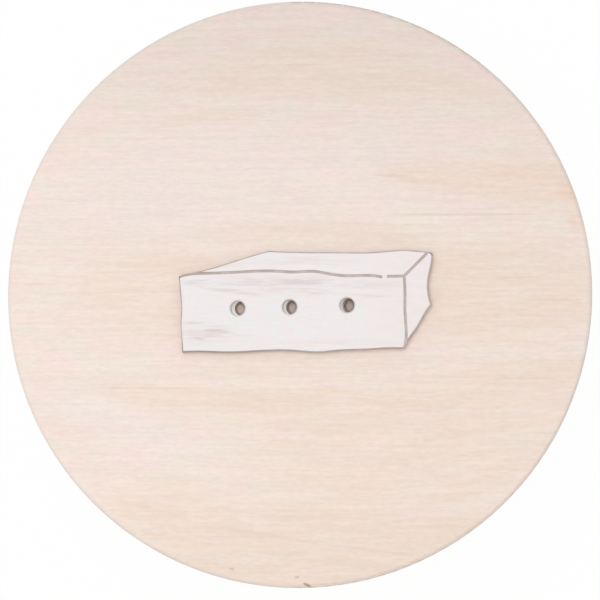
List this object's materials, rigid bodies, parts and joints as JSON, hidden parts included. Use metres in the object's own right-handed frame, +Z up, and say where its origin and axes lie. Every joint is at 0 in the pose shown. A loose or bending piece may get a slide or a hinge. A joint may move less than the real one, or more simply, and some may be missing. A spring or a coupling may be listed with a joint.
{
  "type": "round wooden cheese box",
  "caption": "Round bentwood box for cheese with a flat overhanging lift-off plywood lid that carries a raised whitewashed cut-out of a block of cheese.",
  "frame": {"origin": "middle of the underside of the base, on the surface that the box stands on", "axes": "+Z up, out of the lid; +X to the right along the cheese block as it is seen from above; +Y from the block's bottom edge to its top edge"},
  "size_m": [0.25, 0.25, 0.075],
  "materials": {
    "lid_plywood": "sanded pale plywood, unfinished, fine straight grain",
    "base_plywood": "sanded pale plywood, unfinished",
    "bent_wood": "sanded bent strip, grain along the strip",
    "whitewashed_plywood": "thin matt whitewash, scorched brown along the cut edge and in the grooves",
    "copper": "copper tacks, slightly dulled"
  },
  "bodies": {
    "box": {"base_disc": "base_plywood", "side_band": "bent_wood", "seam_tacks": "copper", "base_tacks": "copper"},
    "lid": {"lid_disc": "lid_plywood", "locating_disc": "base_plywood", "cheese_block": "whitewashed_plywood"}
  },
  "joints": [
    {"name": "lid_lift", "type": "slide", "parent": "box", "child": "lid", "axis": [0, 0, 1], "range_m": [0, 0.1]}
  ]
}
